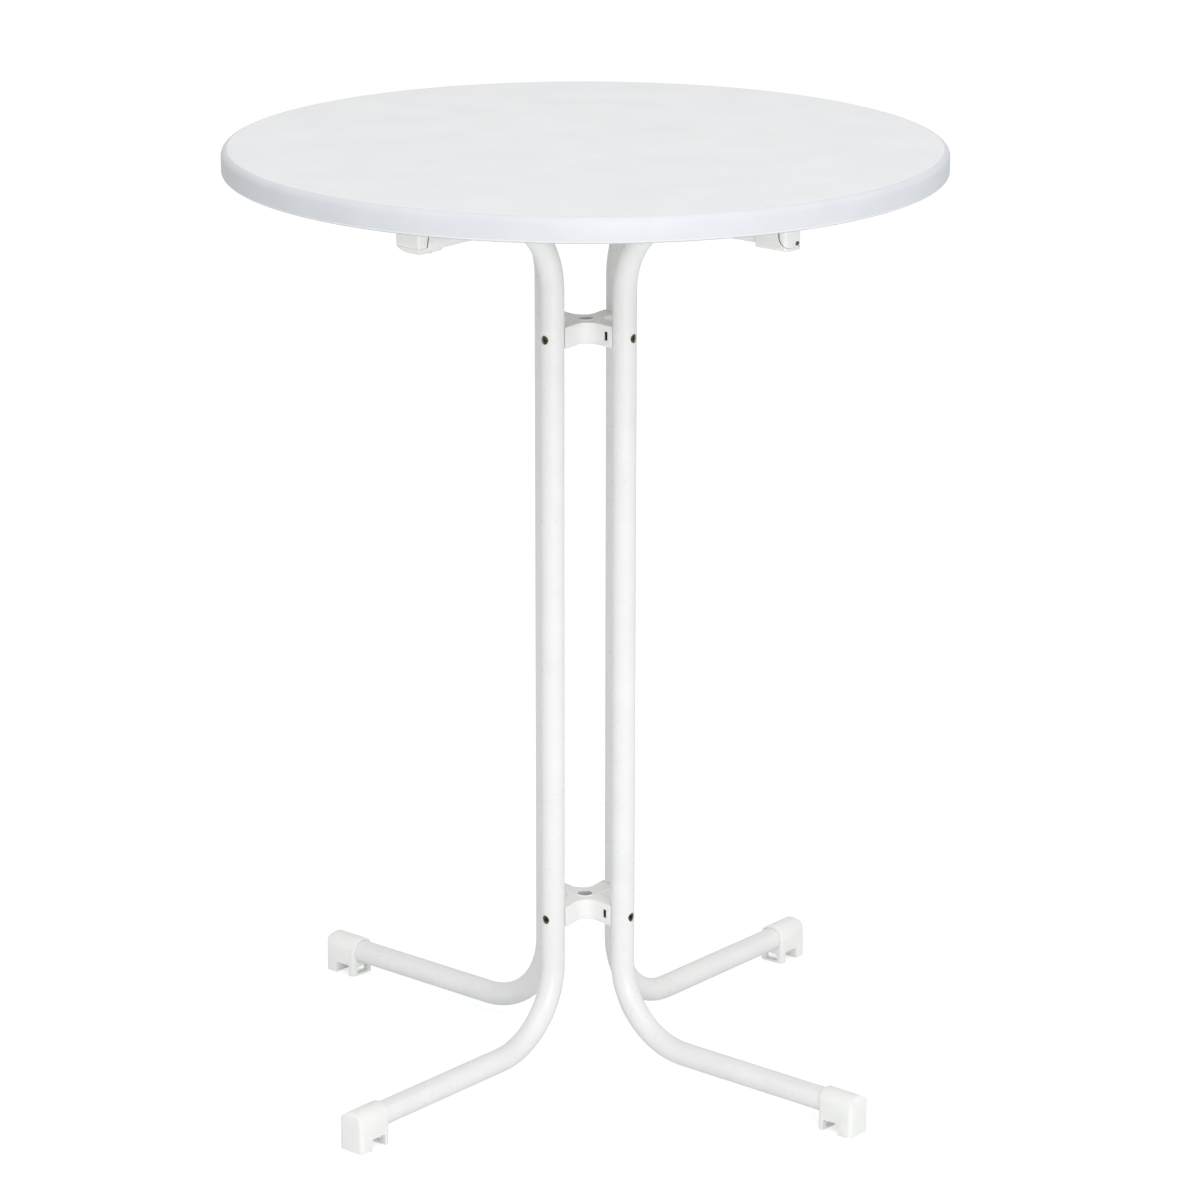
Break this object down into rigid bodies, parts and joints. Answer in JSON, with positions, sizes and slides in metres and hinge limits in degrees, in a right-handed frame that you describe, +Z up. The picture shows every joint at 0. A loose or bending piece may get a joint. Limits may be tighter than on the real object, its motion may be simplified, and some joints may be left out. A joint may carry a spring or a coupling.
{
  "type": "bar table",
  "caption": "Round white bar table: tilting top on bent tube legs that stand in a square column, joined by bolted connectors, with moulded feet and sleeves.",
  "frame": {"origin": "on the floor under the centre of the top", "axes": "+Z up from the floor to the top; +X towards the hinged side of the top, parallel to the hinge axis is +Y; the legs point along the diagonals between X and Y"},
  "size_m": [0.824, 0.824, 1.1],
  "materials": {
    "top_laminate": "satin white laminate on a pressed wood board",
    "white_paint": "gloss white powder coat on steel tube",
    "white_plastic": "satin white moulded plastic",
    "yellow_zinc": "yellow zinc plated steel",
    "plain_zinc": "plain zinc plated steel",
    "black_steel": "blackened steel"
  },
  "bodies": {
    "frame": {"upper_leg_connector": "white_plastic", "lower_leg_connector": "white_plastic", "leg_front_left": "white_paint", "foot_front_left": "white_plastic", "latch_sleeve_front_left": "white_plastic", "sleeve_screw_front_left": "plain_zinc", "bolt_upper_front_left": "yellow_zinc", "nut_upper_front_left": "black_steel", "bolt_lower_front_left": "yellow_zinc", "nut_lower_front_left": "black_steel", "leg_front_right": "white_paint", "foot_front_right": "white_plastic", "hinge_sleeve_front_right": "white_plastic", "sleeve_screw_front_right": "plain_zinc", "hinge_pin_front_right": "plain_zinc", "bolt_upper_front_right": "yellow_zinc", "nut_upper_front_right": "black_steel", "bolt_lower_front_right": "yellow_zinc", "nut_lower_front_right": "black_steel", "leg_rear_right": "white_paint", "foot_rear_right": "white_plastic", "hinge_sleeve_rear_right": "white_plastic", "sleeve_screw_rear_right": "plain_zinc", "hinge_pin_rear_right": "plain_zinc", "bolt_upper_rear_right": "yellow_zinc", "nut_upper_rear_right": "black_steel", "bolt_lower_rear_right": "yellow_zinc", "nut_lower_rear_right": "black_steel", "leg_rear_left": "white_paint", "foot_rear_left": "white_plastic", "latch_sleeve_rear_left": "white_plastic", "sleeve_screw_rear_left": "plain_zinc", "bolt_upper_rear_left": "yellow_zinc", "nut_upper_rear_left": "black_steel", "bolt_lower_rear_left": "yellow_zinc", "nut_lower_rear_left": "black_steel"},
    "tabletop": {"table_top": "top_laminate", "catch_bracket_front_left": "white_plastic", "top_screw_front_left_1": "plain_zinc", "top_screw_front_left_2": "plain_zinc", "top_screw_front_left_3": "plain_zinc", "top_screw_front_left_4": "plain_zinc", "hinge_bracket_front_right": "white_plastic", "top_screw_front_right_1": "plain_zinc", "top_screw_front_right_2": "plain_zinc", "top_screw_front_right_3": "plain_zinc", "top_screw_front_right_4": "plain_zinc", "hinge_bracket_rear_right": "white_plastic", "top_screw_rear_right_1": "plain_zinc", "top_screw_rear_right_2": "plain_zinc", "top_screw_rear_right_3": "plain_zinc", "top_screw_rear_right_4": "plain_zinc", "catch_bracket_rear_left": "white_plastic", "top_screw_rear_left_1": "plain_zinc", "top_screw_rear_left_2": "plain_zinc", "top_screw_rear_left_3": "plain_zinc", "top_screw_rear_left_4": "plain_zinc"}
  },
  "joints": [
    {"name": "top_tilt", "type": "hinge", "parent": "frame", "child": "tabletop", "pos_m": [0.21534, 0, 1.0258], "axis": [0, 1, 0], "range_deg": [0, 90]}
  ]
}
